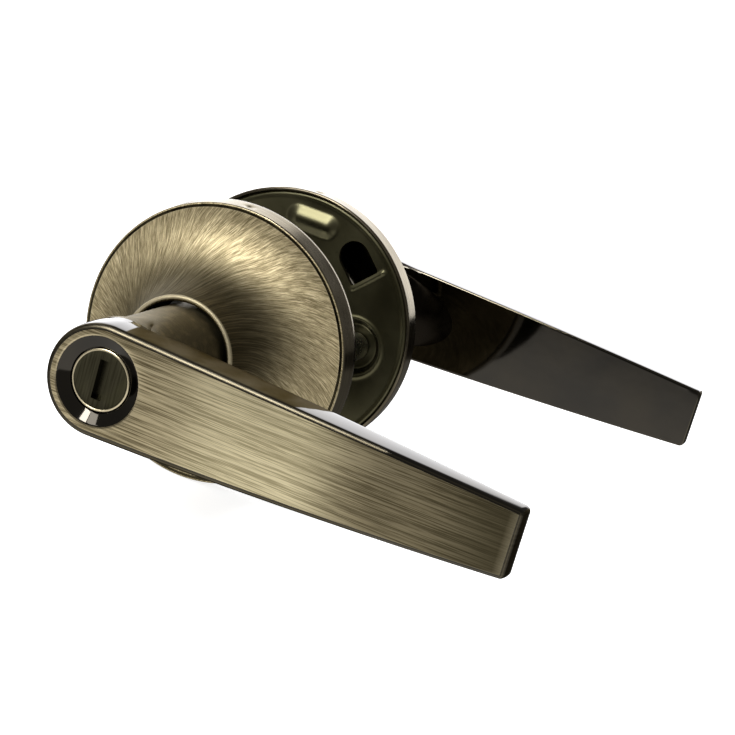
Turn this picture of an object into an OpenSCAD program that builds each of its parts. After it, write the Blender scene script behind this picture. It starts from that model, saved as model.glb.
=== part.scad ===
// Tubular privacy lever set: two mirrored lever trims on one through spindle.
// X runs along the levers, Y along the spindle, Z up. The origin is on the spindle axis at mid door.

/* [Door] */
// Thickness of the door between the two roses
door_t = 35; // [32:1:45]
// Distance between the two through posts
post_spacing = 38; // [37.5:0.5:38.5]

/* [Rose] */
// Diameter of each rose
rose_d = 67; // [66:0.5:70]
// Height of the straight rim of a rose
rim_h = 6.3; // [6:0.1:6.8]
// Height of the collar lip above the door
collar_h = 25.5; // [25:0.5:27]
// Outer diameter of the collar lip
collar_d = 27.8; // [27.6:0.2:28.4]
// Sheet thickness of a rose
rose_wall = 0.8; // [0.7:0.1:0.9]

/* [Lever] */
// Distance from the door to the outer face of the lever
reach = 63; // [60:1:66]
// Distance from the spindle axis to the lever tip
lever_len = 95.5; // [85:0.5:105]
// Diameter of the round lever hub
hub_d = 25.2; // [24:0.2:26]
// Height of the blade where it leaves the hub
root_w = 24.4; // [22:0.2:24.8]
// Height of the blade at its tip
tip_w = 15.5; // [13:0.5:18]
// Thickness of the blade over the neck
root_t = 9.5; // [8:0.5:11]
// Thickness of the blade at its tip
tip_t = 4.6; // [4:0.2:6]
// Distance that the tip bends towards the door
tip_drop = 3; // [2:0.5:6]
// Diameter of the neck between the rose and the lever
neck_d = 23; // [22.4:0.2:23.4]

/* [Spindle and lock] */
// Width across the flats of the square spindle
spindle_w = 7.6; // [7.4:0.1:7.8]
// Diameter of the slotted plug and of the turn button's base
plug_d = 13.7; // [13:0.1:14]
// Outer diameter of the conical recess around the plug
recess_d = 19.8; // [18:0.2:20]
// Travel of the lock pin
pin_travel = 1.3; // [1.2:0.05:1.3]

/* [Hidden] */
$fn = 96;

// Clearances between pieces
run_gap = 0.05;
slip_gap = 0.15;

// Rose
rose_r = rose_d / 2;
rim_edge_r = 0.8;
lip_r = 0.65;
collar_r = collar_d / 2;
sweep_a = rose_r - rim_edge_r - collar_r;
sweep_b = collar_h - lip_r - rim_h;
sweep_step = 7.5;
dimple_h = 3.4;
dimple_r = 3;
dimple_depth = 0.4;

// Mounting plate, heights measured from the door
plate_r = rose_r - rose_wall - 0.1;
plate_low = 1.2;
plate_t = 1.2;
plate_top = plate_low + plate_t;
hub_tube_r = 10.7;
hub_tube_top = 9.6;
bush_r = 9.5;
pocket_angle = 50;
pocket_r = 1.7;
post_x = post_spacing / 2;
cup_mouth_r = 7.2;
cup_floor_r = 5.2;
cup_floor = 3.8;
cup_top = cup_floor + plate_t;
screw_hole_r = 2.25;
bump_y = 26.8;
bump_len = 13;
bump_w = 5;
bump_h = 1;
window_in = 20.4;
window_out = 28.4;
window_len = 6;
window_angle = 45;
tab_in = 21.4;
tab_out = 27;
tab_top = 5.4;
stop_y = 16.9;
stop_w = 8;
stop_top = 11.2;

// Bearing stack on the shank
shank_r = 8;
shank_end = -1.2;
flange_t = 1;
washer_low = hub_tube_top + flange_t + slip_gap;
washer_t = 0.6;
cam_low = washer_low + washer_t + slip_gap;
cam_t = 1.6;
cam_r = 12.4;
cam_flat = 7.05;
lug_in = 14.2;
lug_out = 16.2;
lug_low = 6;
neck_low = cam_low + cam_t + slip_gap;
ring_low = 0.1;
ring_t = 0.9;
ring_r = 9.8;
groove_r = 7.25;

// Return spring
spring_r = 12.6;
spring_wire_r = 0.65;
spring_low = 6.4;
spring_high = 10.4;
leg_x = stop_w / 2 + spring_wire_r + 0.1;
leg_y = 18.6;
coil_start = 90 + asin(leg_x / spring_r);
coil_turn = 1080 - 2 * (coil_start - 90);

// Lever
hub_r = hub_d / 2;
neck_r = neck_d / 2;
bow_x = 15;
bow_r = (lever_len * lever_len - 2 * lever_len * bow_x) / (2 * tip_drop);
bow_rise = bow_x * bow_x / (2 * bow_r);
web_low = reach - 18;
blade_steps = 18;
web_step = 5;
corner_r = 2;

// Lock train
recess_depth = 1.7;
plug_sink = 1.6;
plug_t = 3;
plug_r = plug_d / 2;
plug_face = reach - plug_sink;
seat_floor = plug_face - plug_t;
stem_r = 3;
chamber_r = 4.2;
chamber_h = 9.3;
stem_gap = 3.3;
bar_w = 4.4;
bar_t = 1.2;
bar_pocket = 3.4;
spindle_bore_r = 3;
socket_out = 18;
socket_in = 36;
clip_t = 0.7;
clip_r = 4.05;
clip_bore_r = 2.45;
wing_len = 12;
wing_t = 3.4;
wing_rise = 8;
slot_len = 8.8;
slot_w = 2.4;
slot_depth = 2;
pin_r = 1.2;
pin_foot_r = 0.5;
pin_h = 5;
pin_top = shank_r - run_gap;
pin_collar_r = 2;
pin_collar_t = 0.6;
pin_chamber_r = 2.2;
pin_chamber_top = 6.3;
lock_cam_high = 2.85;
lock_cam_low = lock_cam_high - pin_travel - 0.05;
lock_cam_t = 3;
pin_low = lock_cam_low + 2 * slip_gap;

// Fasteners
post_r = 3.5;
post_end = 3.2;
rivet_head_r = 3.4;
thread_r = 2;
thread_gap = 0.02;
screw_len = 30;
screw_head_r = 3.5;
screw_head_h = 2;
lock_washer_t = 0.6;
grub_len = 5.5;

// Each trim is drawn with x along the lever, y up and z away from the door
module on_outside() {
    translate([0, -door_t / 2, 0]) rotate([90, 0, 0]) children();
}

module on_inside() {
    translate([0, door_t / 2, 0]) mirror([0, 1, 0]) rotate([90, 0, 0]) children();
}

// A flat ring from inner radius ri to outer radius ro
module ring(ri, ro, low, t) {
    translate([0, 0, low]) difference() {
        cylinder(r = ro, h = t);
        translate([0, 0, -1]) cylinder(r = ri, h = t + 2);
    }
}

module square_bar(w, low, high) {
    translate([-w / 2, -w / 2, low]) cube([w, w, high - low]);
}

// ---- roses ----

// Outer face of the trumpet at sweep angle a, moved inwards by the wall w
function sweep_point(a, w) = [collar_r + sweep_a - (sweep_a + w) * cos(a),
                              rim_h + sweep_b - (sweep_b + w) * sin(a)];

function arc(cx, cy, r, from, to, step) =
    [for (a = [from : step : to]) [cx + r * cos(a), cy + r * sin(a)]];

module rose_shell() {
    outer = [for (a = [90 : -sweep_step : 0]) sweep_point(a, 0)];
    inner = [for (a = [0 : sweep_step : 90]) sweep_point(a, rose_wall)];
    rim = arc(rose_r - rim_edge_r, rim_h - rim_edge_r, rim_edge_r, 0, 80, 20);
    rolled_lip = arc(collar_r - lip_r, collar_h - lip_r, lip_r, 20, 180, 20);
    low_r = rose_r - rose_wall;
    difference() {
        rotate_extrude() polygon(concat([[low_r, 0], [rose_r, 0]], rim, outer, rolled_lip, inner,
                                        [[low_r, rim_h - rose_wall]]));
        // Dimples pressed into the rim, which snap over the edge of the plate
        for (a = [92, 212, 332]) rotate(a)
            translate([rose_r + dimple_r - dimple_depth, 0, dimple_h]) sphere(r = dimple_r);
    }
}

module outside_rose() {
    color("darkgoldenrod") on_outside() rose_shell();
}

module inside_rose() {
    color("darkgoldenrod") on_inside() rose_shell();
}

// ---- mounting plates ----

module stadium(len, w) {
    square([len - w, w], center = true);
    for (s = [-1, 1]) translate([s * (len - w) / 2, 0]) circle(d = w);
}

// Arched window with a straight radial end, in the first quadrant
module window_shape() {
    mid = (window_in + window_out) / 2;
    half = (window_out - window_in) / 2;
    rotate(window_angle) {
        translate([window_in, 0]) square([2 * half, window_len]);
        translate([mid, window_len]) circle(r = half);
    }
}

module each_quadrant() {
    for (sx = [0, 1], sy = [0, 1]) mirror([sx, 0, 0]) mirror([0, sy, 0]) children();
}

module mounting_plate() {
    difference() {
        union() {
            translate([0, 0, plate_low]) cylinder(r = plate_r, h = plate_t);
            translate([0, 0, plate_low]) cylinder(r = hub_tube_r, h = hub_tube_top - plate_low);
            for (s = [-1, 1]) {
                translate([0, s * bump_y, plate_low - bump_h]) linear_extrude(bump_h + plate_t / 2)
                    stadium(bump_len, bump_w);
                translate([s * post_x, 0, plate_low])
                    cylinder(r1 = cup_mouth_r + plate_t, r2 = cup_floor_r + plate_t,
                             h = cup_top - plate_low);
            }
            // Lanced tabs at the windows and the stop that both spring legs close on
            each_quadrant() rotate(window_angle) translate([tab_in, -plate_t, plate_low])
                cube([tab_out - tab_in, plate_t, tab_top - plate_low]);
            translate([-stop_w / 2, stop_y, plate_low]) cube([stop_w, plate_t, stop_top - plate_low]);
        }
        translate([0, 0, -1]) cylinder(r = bush_r, h = hub_tube_top + 2);
        for (s = [-1, 1]) {
            translate([s * post_x, 0, plate_low - 0.01])
                cylinder(r1 = cup_mouth_r, r2 = cup_floor_r, h = cup_floor - plate_low + 0.01);
            translate([s * post_x, 0, 0]) cylinder(r = screw_hole_r, h = cup_top + 1);
        }
        each_quadrant() linear_extrude(plate_top + 0.01) window_shape();
    }
}

module outside_plate() {
    color("dimgray") on_outside() mounting_plate();
}

module inside_plate() {
    color("dimgray") on_inside() mounting_plate();
}

// Bearing sleeve pressed into the plate's hub, with a hole for the lock pin and two grease pockets
module bushing() {
    difference() {
        union() {
            translate([0, 0, plate_low]) cylinder(r = bush_r - run_gap, h = hub_tube_top - plate_low);
            translate([0, 0, hub_tube_top]) cylinder(r = hub_tube_r, h = flange_t);
        }
        cylinder(r = shank_r + run_gap, h = hub_tube_top + 2);
        translate([0, 0, pin_h]) rotate([-90, 0, 0]) cylinder(r = pin_r + 0.1, h = bush_r + 1);
        for (a = [-pocket_angle, pocket_angle]) rotate(a) translate([0, 0, pin_h])
            rotate([-90, 0, 0]) cylinder(r = pocket_r, h = bush_r + 1);
    }
}

module outside_bushing() {
    color("tan") on_outside() bushing();
}

module inside_bushing() {
    color("tan") on_inside() bushing();
}

// ---- pieces that turn with each shank ----

module key_shape(r, flat) {
    intersection() {
        circle(r = r);
        square([3 * r, 2 * flat], center = true);
    }
}

// Keyed disc whose lug pushes one leg of the return spring
module spring_cam() {
    translate([0, 0, cam_low]) linear_extrude(cam_t) difference() {
        union() {
            circle(r = cam_r);
            translate([-stop_w / 2, 0]) square([stop_w, lug_out]);
        }
        key_shape(shank_r + run_gap, cam_flat + run_gap);
    }
    translate([-stop_w / 2, lug_in, lug_low]) cube([stop_w, lug_out - lug_in, cam_low + 0.5 - lug_low]);
}

module outside_cam() {
    color("silver") on_outside() spring_cam();
}

module inside_cam() {
    color("silver") on_inside() spring_cam();
}

module thrust_washer() {
    ring(shank_r + slip_gap, hub_tube_r - 0.1, washer_low, washer_t);
}

module outside_thrust_washer() {
    color("gainsboro") on_outside() thrust_washer();
}

module inside_thrust_washer() {
    color("gainsboro") on_inside() thrust_washer();
}

module retaining_ring() {
    opening = 5;
    difference() {
        ring(groove_r + run_gap, ring_r, ring_low, ring_t);
        translate([-opening / 2, -2 * ring_r, -1]) cube([opening, 2 * ring_r, 4]);
    }
}

module outside_retaining_ring() {
    color("slategray") on_outside() retaining_ring();
}

module inside_retaining_ring() {
    color("slategray") on_inside() retaining_ring();
}

// ---- springs ----

function unit(v) = v / norm(v);

function tangent(path, i) =
    unit(path[min(i + 1, len(path) - 1)] - path[max(i - 1, 0)]);

// One ring of points around the path, square to it
function wire_ring(path, i, r, sides, up) =
    let (t = tangent(path, i), n = unit(cross(t, up)), b = cross(n, t))
    [for (k = [0 : sides - 1])
        path[i] + r * (cos(360 * k / sides) * n + sin(360 * k / sides) * b)];

// Round wire of radius r swept along a path
module wire(path, r, sides, up) {
    count = len(path);
    points = [for (i = [0 : count - 1]) for (p = wire_ring(path, i, r, sides, up)) p];
    walls = [for (i = [0 : count - 2], k = [0 : sides - 1])
        let (a = i * sides + k, b = i * sides + (k + 1) % sides)
        [a, b, b + sides, a + sides]];
    first_cap = [[for (k = [sides - 1 : -1 : 0]) k]];
    last_cap = [[for (k = [0 : sides - 1]) (count - 1) * sides + k]];
    polyhedron(points = points, faces = concat(walls, first_cap, last_cap), convexity = 6);
}

module return_spring() {
    steps = 60;
    coil = [for (i = [0 : steps])
        let (a = coil_start + coil_turn * i / steps)
        [spring_r * cos(a), spring_r * sin(a),
         spring_low + (spring_high - spring_low) * i / steps]];
    wire(concat([[-leg_x, leg_y, spring_low], [-leg_x, 15, spring_low]], coil,
                [[leg_x, 15, spring_high], [leg_x, leg_y, spring_high]]),
         spring_wire_r, 8, [0, 0, 1]);
}

module outside_return_spring() {
    color("steelblue") on_outside() return_spring();
}

module inside_return_spring() {
    color("steelblue") on_inside() return_spring();
}

module lock_pin_spring() {
    steps = 64;
    turns = 4;
    low = spindle_w / 2 + run_gap + pin_collar_t + 0.25;
    high = pin_chamber_top - 0.2;
    mean_r = 1.7;
    color("steelblue") on_outside() translate([0, 0, pin_h])
        wire([for (i = [0 : steps])
            let (a = 360 * turns * i / steps)
            [mean_r * cos(a), low + (high - low) * i / steps, mean_r * sin(a)]],
            0.14, 6, [0, 1, 0]);
}

// ---- levers ----

// Height of the outer face at distance x along the lever
function outer_face(x) = reach + bow_rise - (x - bow_x) * (x - bow_x) / (2 * bow_r);

function blade_t(x) = root_t + (tip_t - root_t) * pow(x / lever_len, 2);

// Side view of the blade: outer face, tip, inner face and the web that runs into the neck
module blade_side() {
    xs = [for (i = [0 : blade_steps]) lever_len * i / blade_steps];
    outer = [for (x = xs) [x, outer_face(x)]];
    inner = [for (i = [blade_steps : -1 : web_step]) [xs[i], outer_face(xs[i]) - blade_t(xs[i])]];
    polygon(concat(outer, inner, [[neck_r - 1.5, web_low], [0, web_low]]));
}

// Front view of the blade, tapered, with rounded tip corners
module blade_front() {
    half = tip_w / 2;
    top = arc(lever_len - corner_r, half - corner_r, corner_r, 0, 90, 15);
    low = [for (i = [len(top) - 1 : -1 : 0]) [top[i][0], -top[i][1]]];
    polygon(concat([[0, -root_w / 2]], low, top, [[0, root_w / 2]]));
}

module blade() {
    intersection() {
        translate([0, hub_d, 0]) rotate([90, 0, 0]) linear_extrude(2 * hub_d) blade_side();
        linear_extrude(reach + 5) blade_front();
    }
}

// Shank, neck and hub, turned as one piece
module lever_trunk() {
    flare_low = reach - 16;
    flare_high = reach - 9;
    rotate_extrude() polygon([[0, shank_end], [shank_r, shank_end], [shank_r, neck_low],
                              [neck_r, neck_low], [neck_r, flare_low], [hub_r, flare_high],
                              [hub_r, reach - 0.8], [hub_r - 0.8, reach], [0, reach]]);
}

// Flats on the shank that key it to the spring cam
module key_cut() {
    difference() {
        translate([0, 0, cam_low - 0.1]) cylinder(r = neck_r + 1, h = neck_low - cam_low + 0.1);
        translate([0, 0, cam_low - 0.2]) linear_extrude(neck_low - cam_low + 0.3)
            key_shape(2 * neck_r, cam_flat);
    }
}

// Everything that is bored out of a lever whose spindle socket is socket deep
module lever_bores(socket) {
    ledge = socket + chamber_h;
    square_bar(spindle_w + 2 * run_gap, shank_end - 1, socket);
    translate([0, 0, socket - 0.01]) cylinder(r = chamber_r, h = chamber_h + 0.01);
    translate([0, 0, ledge - 0.01]) cylinder(r = stem_r + run_gap, h = seat_floor - ledge);
    translate([0, 0, seat_floor - 0.1]) cylinder(r = plug_r + run_gap, h = reach);
    translate([0, 0, reach - recess_depth])
        cylinder(r1 = plug_r + 0.55, r2 = recess_d / 2, h = recess_depth + 0.01);
    translate([0, 0, reach]) cylinder(r = recess_d / 2, h = 2);
    difference() {
        translate([0, 0, ring_low - run_gap]) cylinder(r = shank_r + 1, h = ring_t + 2 * run_gap);
        cylinder(r = groove_r, h = ring_t + 1);
    }
}

// Radial threaded hole for the set screw, from below
module grub_hole(h) {
    translate([0, 0, h]) rotate([90, 0, 0]) cylinder(r = thread_r + thread_gap, h = neck_r + 3);
}

module outside_lever() {
    color("darkgoldenrod") on_outside() difference() {
        union() {
            lever_trunk();
            blade();
        }
        key_cut();
        lever_bores(socket_out);
        grub_hole(socket_out - 2);
        // Lock pin hole and the chamber of its spring
        translate([0, 0, pin_h]) rotate([-90, 0, 0]) {
            cylinder(r = pin_r + run_gap, h = neck_r);
            cylinder(r = pin_chamber_r, h = pin_chamber_top);
        }
    }
}

module inside_lever() {
    color("darkgoldenrod") on_inside() difference() {
        union() {
            lever_trunk();
            blade();
        }
        key_cut();
        lever_bores(socket_in);
        grub_hole(socket_in - 5);
    }
}

module grub_screw(h) {
    low = spindle_w / 2 + run_gap;
    translate([0, 0, h]) rotate([90, 0, 0]) difference() {
        translate([0, 0, low]) cylinder(r = thread_r, h = grub_len);
        translate([0, 0, low + grub_len - 2]) cylinder(r = 1.15, h = 3, $fn = 6);
    }
}

module outside_lever_screw() {
    color("black") on_outside() grub_screw(socket_out - 2);
}

module inside_lever_screw() {
    color("black") on_inside() grub_screw(socket_in - 5);
}

// ---- spindle and lock train ----

module spindle() {
    color("lightsteelblue") difference() {
        union() {
            on_outside() square_bar(spindle_w, -door_t / 2, socket_out - 0.3);
            on_inside() square_bar(spindle_w, -door_t / 2, socket_in - 0.3);
        }
        translate([0, -door_t - socket_out, 0]) rotate([-90, 0, 0])
            cylinder(r = spindle_bore_r, h = 3 * door_t + socket_in);
        on_outside() translate([0, 0, pin_h]) rotate([-90, 0, 0])
            cylinder(r = pin_foot_r + run_gap, h = spindle_w);
    }
}

// Flat strip that carries the turn button's motion through the spindle
module lock_bar() {
    end_out = -door_t / 2 - socket_out - stem_gap - bar_pocket + 0.4;
    end_in = door_t / 2 + socket_in + stem_gap + bar_pocket - 0.4;
    color("silver") translate([-bar_w / 2, end_out, -bar_t / 2])
        cube([bar_w, end_in - end_out, bar_t]);
}

// Round head and stem that seat in a lever whose spindle socket is socket deep
module head_and_stem(socket) {
    stem_low = socket + stem_gap;
    groove_low = socket + chamber_h - 0.9;
    difference() {
        union() {
            translate([0, 0, seat_floor]) cylinder(r = plug_r, h = plug_t);
            translate([0, 0, stem_low]) cylinder(r = stem_r, h = seat_floor - stem_low);
        }
        translate([0, 0, groove_low]) ring(clip_bore_r - run_gap, stem_r + 1, 0, clip_t + 0.1);
        translate([-bar_w / 2 - run_gap, -bar_t / 2 - run_gap, stem_low - 1])
            cube([bar_w + 2 * run_gap, bar_t + 2 * run_gap, bar_pocket + 1]);
    }
}

module emergency_plug() {
    color("peru") on_outside() difference() {
        head_and_stem(socket_out);
        translate([-slot_w / 2, -slot_len / 2, plug_face - slot_depth])
            cube([slot_w, slot_len, slot_depth + 1]);
    }
}

module turn_button() {
    color("peru") on_inside() {
        head_and_stem(socket_in);
        translate([0, 0, plug_face - 0.5]) linear_extrude(plug_sink + wing_rise - 1.2)
            rotate(90) stadium(wing_len, wing_t);
        // Crowned top of the thumb wing
        translate([0, 0, reach + wing_rise - 2.5]) intersection() {
            linear_extrude(4) rotate(90) stadium(wing_len - 0.6, wing_t - 0.6);
            rotate([0, 90, 0]) translate([9.5, 0, -wing_t]) cylinder(r = 12, h = 2 * wing_t);
        }
    }
}

module e_clip(socket) {
    low = socket + chamber_h - 0.85;
    difference() {
        ring(clip_bore_r, clip_r, low, clip_t);
        translate([-1.6, 0, low - 1]) cube([3.2, 5, 3]);
    }
}

module plug_clip() {
    color("slategray") on_outside() e_clip(socket_out);
}

module button_clip() {
    color("slategray") on_inside() e_clip(socket_in);
}

// Split spring sleeve that grips the button's stem and holds it where it is turned
module button_detent_spring() {
    low = socket_in + stem_gap + 0.6;
    color("steelblue") on_inside() difference() {
        ring(stem_r + 0.1, chamber_r - run_gap, low, 3);
        translate([-0.6, 0, low - 1]) cube([1.2, 5, 5]);
    }
}

// Radius of the lock cam at angle a: a low seat, then a spiral that lifts the pin evenly
function lock_cam_radius(a) =
    a < 50 || a > 180 ? lock_cam_high :
    a < 62 ? lock_cam_high + (lock_cam_low - lock_cam_high) * (a - 50) / 12 :
    a < 90 ? lock_cam_low :
    lock_cam_low + (lock_cam_high - lock_cam_low) * (a - 90) / 90;

module lock_cam() {
    color("silver") on_outside() translate([0, 0, pin_h - lock_cam_t / 2])
        linear_extrude(lock_cam_t) difference() {
            polygon([for (a = [0 : 6 : 354]) lock_cam_radius(a) * [cos(a), sin(a)]]);
            square([bar_w + 2 * run_gap, bar_t + 2 * run_gap], center = true);
        }
}

// Radial pin that the lock cam lifts into the hole in the bushing
module lock_pin() {
    collar_low = spindle_w / 2 + 2 * run_gap;
    color("silver") on_outside() translate([0, 0, pin_h]) rotate([-90, 0, 0]) {
        translate([0, 0, pin_low]) cylinder(r = pin_foot_r, h = collar_low + 0.2 - pin_low);
        translate([0, 0, collar_low]) cylinder(r = pin_collar_r, h = pin_collar_t);
        translate([0, 0, collar_low + 0.2]) cylinder(r = pin_r, h = pin_top - collar_low - 0.2);
    }
}

// ---- through bolting ----

module threaded_posts() {
    length = cup_floor + door_t + post_end;
    color("lightsteelblue") on_outside() for (s = [-1, 1]) translate([s * post_x, 0, 0]) {
        difference() {
            translate([0, 0, cup_floor - length]) cylinder(r = post_r, h = length);
            translate([0, 0, cup_floor - length - 1])
                cylinder(r = thread_r + thread_gap, h = screw_len + 3);
        }
        translate([0, 0, cup_floor - 0.5]) cylinder(r = screw_hole_r - run_gap, h = plate_t + 1);
        translate([0, 0, cup_top]) cylinder(r = rivet_head_r, h = 1);
    }
}

module through_screws() {
    seat = cup_top + lock_washer_t;
    color("gold") on_inside() for (s = [-1, 1]) translate([s * post_x, 0, seat]) difference() {
        union() {
            cylinder(r = screw_head_r, h = screw_head_h);
            translate([0, 0, -screw_len]) cylinder(r = thread_r, h = screw_len + 0.5);
        }
        for (a = [0, 90]) rotate(a) translate([-2.1, -0.45, screw_head_h - 1.2])
            cube([4.2, 0.9, 2]);
    }
}

module screw_washers() {
    color("slategray") on_inside() for (s = [-1, 1]) translate([s * post_x, 0, 0])
        ring(thread_r + 0.2, screw_head_r + 0.3, cup_top, lock_washer_t);
}

outside_lever();
outside_rose();
outside_plate();
threaded_posts();
outside_bushing();
outside_cam();
outside_return_spring();
outside_thrust_washer();
outside_retaining_ring();
outside_lever_screw();
emergency_plug();
plug_clip();
lock_pin();
lock_pin_spring();
spindle();
lock_bar();
lock_cam();
inside_lever();
inside_rose();
inside_plate();
through_screws();
screw_washers();
inside_bushing();
inside_cam();
inside_return_spring();
inside_thrust_washer();
inside_retaining_ring();
inside_lever_screw();
turn_button();
button_clip();
button_detent_spring();
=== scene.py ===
"""Looks of the tubular privacy lever set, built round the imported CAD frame.

Every trim is made in its own coordinates: x along the lever, z up, and h outwards from the door.
Sizes are in millimetres until a mesh is made, and come from the frame's boxes where it has them.
"""

import math

import bmesh
import bpy
import numpy as np
from mathutils import Matrix, Vector


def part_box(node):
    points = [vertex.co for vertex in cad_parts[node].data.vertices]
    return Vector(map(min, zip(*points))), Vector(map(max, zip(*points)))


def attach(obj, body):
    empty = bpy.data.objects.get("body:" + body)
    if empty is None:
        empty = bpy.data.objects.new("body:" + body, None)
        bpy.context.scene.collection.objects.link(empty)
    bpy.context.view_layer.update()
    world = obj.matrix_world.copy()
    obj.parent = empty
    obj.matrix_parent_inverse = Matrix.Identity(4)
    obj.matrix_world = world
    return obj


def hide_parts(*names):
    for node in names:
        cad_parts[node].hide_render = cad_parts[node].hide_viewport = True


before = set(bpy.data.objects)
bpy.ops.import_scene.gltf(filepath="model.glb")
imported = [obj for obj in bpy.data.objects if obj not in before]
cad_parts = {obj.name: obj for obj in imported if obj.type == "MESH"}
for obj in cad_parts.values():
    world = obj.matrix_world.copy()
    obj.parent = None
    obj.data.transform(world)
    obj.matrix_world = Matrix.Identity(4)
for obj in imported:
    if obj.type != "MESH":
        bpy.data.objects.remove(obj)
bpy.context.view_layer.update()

MM = 0.001
UV_PER_MM = 0.03
OUTSIDE, INSIDE = -1, 1

# ---- sizes taken from the frame, in mm ----


def span(node):
    """Lowest and highest corner of a CAD node, in mm."""
    low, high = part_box(node)
    return np.array(low) / MM, np.array(high) / MM


rose_low, rose_high = span("outside_rose")
lever_low, lever_high = span("outside_lever")
plug_low, plug_high = span("emergency_plug")
plate_high = span("outside_plate")[1]
post_low, post_high = span("threaded_posts")

DOOR = -rose_high[1]                      # half the door's thickness
ROSE_R = rose_high[2]
COLLAR_H = -DOOR - rose_low[1]
HUB_R = lever_high[2]
TIP_X = lever_high[0]
BOW_TOP = -DOOR - lever_low[1]            # highest point of the lever's outer face
SHANK_END = -DOOR - lever_high[1]
PLUG_R = plug_high[0]
PLUG_FACE = -DOOR - plug_low[1]
PLATE_R = plate_high[0]
POST_X = post_high[0] - (post_high[2] - post_low[2]) / 2

# ---- sizes of the looks, in mm ----

RIM_H = 6.3
COLLAR_R = 13.9
WALL = 0.8
NECK_R = 11.5
SHANK_R = 8.0
NECK_LOW = 13.3
BOW_X = 15.0               # where along the lever the outer face is highest
TIP_DROP = 3.0             # how much lower the face is at the tip than on the axis
TIP_HALF = 7.75
ROOT_T = 9.5               # thickness of the blade at the hub, and at the tip
TIP_T = 4.6
RECESS_R = 9.9
RECESS_DEPTH = 1.55
HEAD_T = 3.0               # thickness of the plug's and the button's round head
SOCKET_HALF = 3.85

BOW_R = (TIP_X ** 2 - 2 * TIP_X * BOW_X) / (2 * TIP_DROP)
REACH = BOW_TOP - BOW_X ** 2 / (2 * BOW_R)


# ---- mesh helpers ----


def place(points, side):
    """Trim coordinates (x, z, h) in mm to the row frame in metres. side is OUTSIDE or INSIDE."""
    p = np.asarray(points, float)
    return np.stack([p[..., 0], side * (DOOR + p[..., 2]), p[..., 1]], axis=-1) * MM


def ring_mesh(name, rings, side, caps=(False, False), closed=False, zones=None, materials=(),
              wear_and_highlight=None, satin_and_reflection=None, uv="around", flat=None):
    """A mesh through rings of equal length, each a list of (x, z, h), joined in order.

    closed joins the last ring to the first, and caps close the ends. zones gives each band's
    material number. The wear value per ring marks rubbed edges and painted highlight lines, and
    the satin value per point marks brown satin patches and a painted brown reflection. uv says
    which way the brush lines run: around the rings or along their order.
    In the zone whose number is flat they run straight along x.
    """
    rings = np.asarray(rings, float)
    count, n, _ = rings.shape
    points = place(rings, side).reshape(-1, 3)
    bands = count if closed else count - 1
    faces, face_zone, face_uv = [], [], []
    length = np.linalg.norm(np.diff(rings, axis=0), axis=2).mean(axis=1)
    along = np.concatenate([[0], np.cumsum(length), [length.sum() + 1]])
    for k in range(bands):
        nxt = (k + 1) % count
        for i in range(n):
            j = (i + 1) % n
            faces.append((k * n + i, k * n + j, nxt * n + j, nxt * n + i))
            face_zone.append(0 if zones is None else zones[k])
            face_uv.append([(i, k), (i + 1, k), (i + 1, k + 1), (i, k + 1)])
    wear_and_highlight_values = np.repeat(np.zeros(count) if wear_and_highlight is None else np.asarray(wear_and_highlight, float), n)
    satin_and_reflection_values = np.zeros(count * n) if satin_and_reflection is None else np.asarray(satin_and_reflection, float).reshape(-1)
    for end, wanted in zip((0, count - 1), caps):
        if not wanted:
            continue
        centre = len(points)
        points = np.vstack([points, points[end * n:end * n + n].mean(axis=0)])
        wear_and_highlight_values = np.append(wear_and_highlight_values, 0.0)
        satin_and_reflection_values = np.append(satin_and_reflection_values, 0.0)
        for i in range(n):
            faces.append((end * n + i, end * n + (i + 1) % n, centre))
            face_zone.append(0 if zones is None else zones[min(end, bands - 1)])
            face_uv.append([(i, end), (i + 1, end), (i + 0.5, end)])
    mesh = bpy.data.meshes.new(name)
    mesh.from_pydata([tuple(p) for p in points], [], faces)
    layer = mesh.uv_layers.new(name="brush")
    scale = [UV_PER_MM * c for c in along]
    coords = []
    for corners, zone in zip(face_uv, face_zone):
        for i, k in corners:
            u, v = i / n, scale[int(k)]
            if zone == flat and i == int(i):
                x, z = rings[int(k) % count, int(i) % n, :2]
                coords += [UV_PER_MM * x, UV_PER_MM * z]
            else:
                coords += [v, u] if uv == "around" else [u, v]
    layer.data.foreach_set("uv", coords)
    for layer_name, values in (("wear_and_highlight", wear_and_highlight_values), ("satin_and_reflection", satin_and_reflection_values)):
        attribute = mesh.attributes.new(layer_name, "FLOAT", "POINT")
        attribute.data.foreach_set("value", values.astype(np.float32))
    for m in materials:
        mesh.materials.append(m)
    mesh.polygons.foreach_set("material_index", face_zone)
    return finish_mesh(name, mesh)


def finish_mesh(name, mesh):
    """Normals outwards, smooth shading, and an object in the scene."""
    bm = bmesh.new()
    bm.from_mesh(mesh)
    bmesh.ops.recalc_face_normals(bm, faces=bm.faces)
    bm.to_mesh(mesh)
    bm.free()
    mesh.shade_smooth()
    obj = bpy.data.objects.new(name, mesh)
    bpy.context.scene.collection.objects.link(obj)
    return obj


def cut(obj, cutters):
    """Subtracts the cutters from obj, and removes them."""
    for cutter in cutters:
        modifier = obj.modifiers.new("cut", "BOOLEAN")
        modifier.operation = "DIFFERENCE"
        modifier.solver = "EXACT"
        modifier.object = cutter
    apply_modifiers(obj)
    for cutter in cutters:
        bpy.data.objects.remove(cutter)


def apply_modifiers(obj):
    """Puts the result of an object's modifiers into its mesh."""
    depsgraph = bpy.context.evaluated_depsgraph_get()
    mesh = bpy.data.meshes.new_from_object(obj.evaluated_get(depsgraph))
    obj.modifiers.clear()
    old = obj.data
    obj.data = mesh
    bpy.data.meshes.remove(old)


def sharpen(obj, angle):
    """Marks edges over that many degrees as sharp, so that flat faces stay flat."""
    obj.data.set_sharp_from_angle(angle=math.radians(angle))


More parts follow.
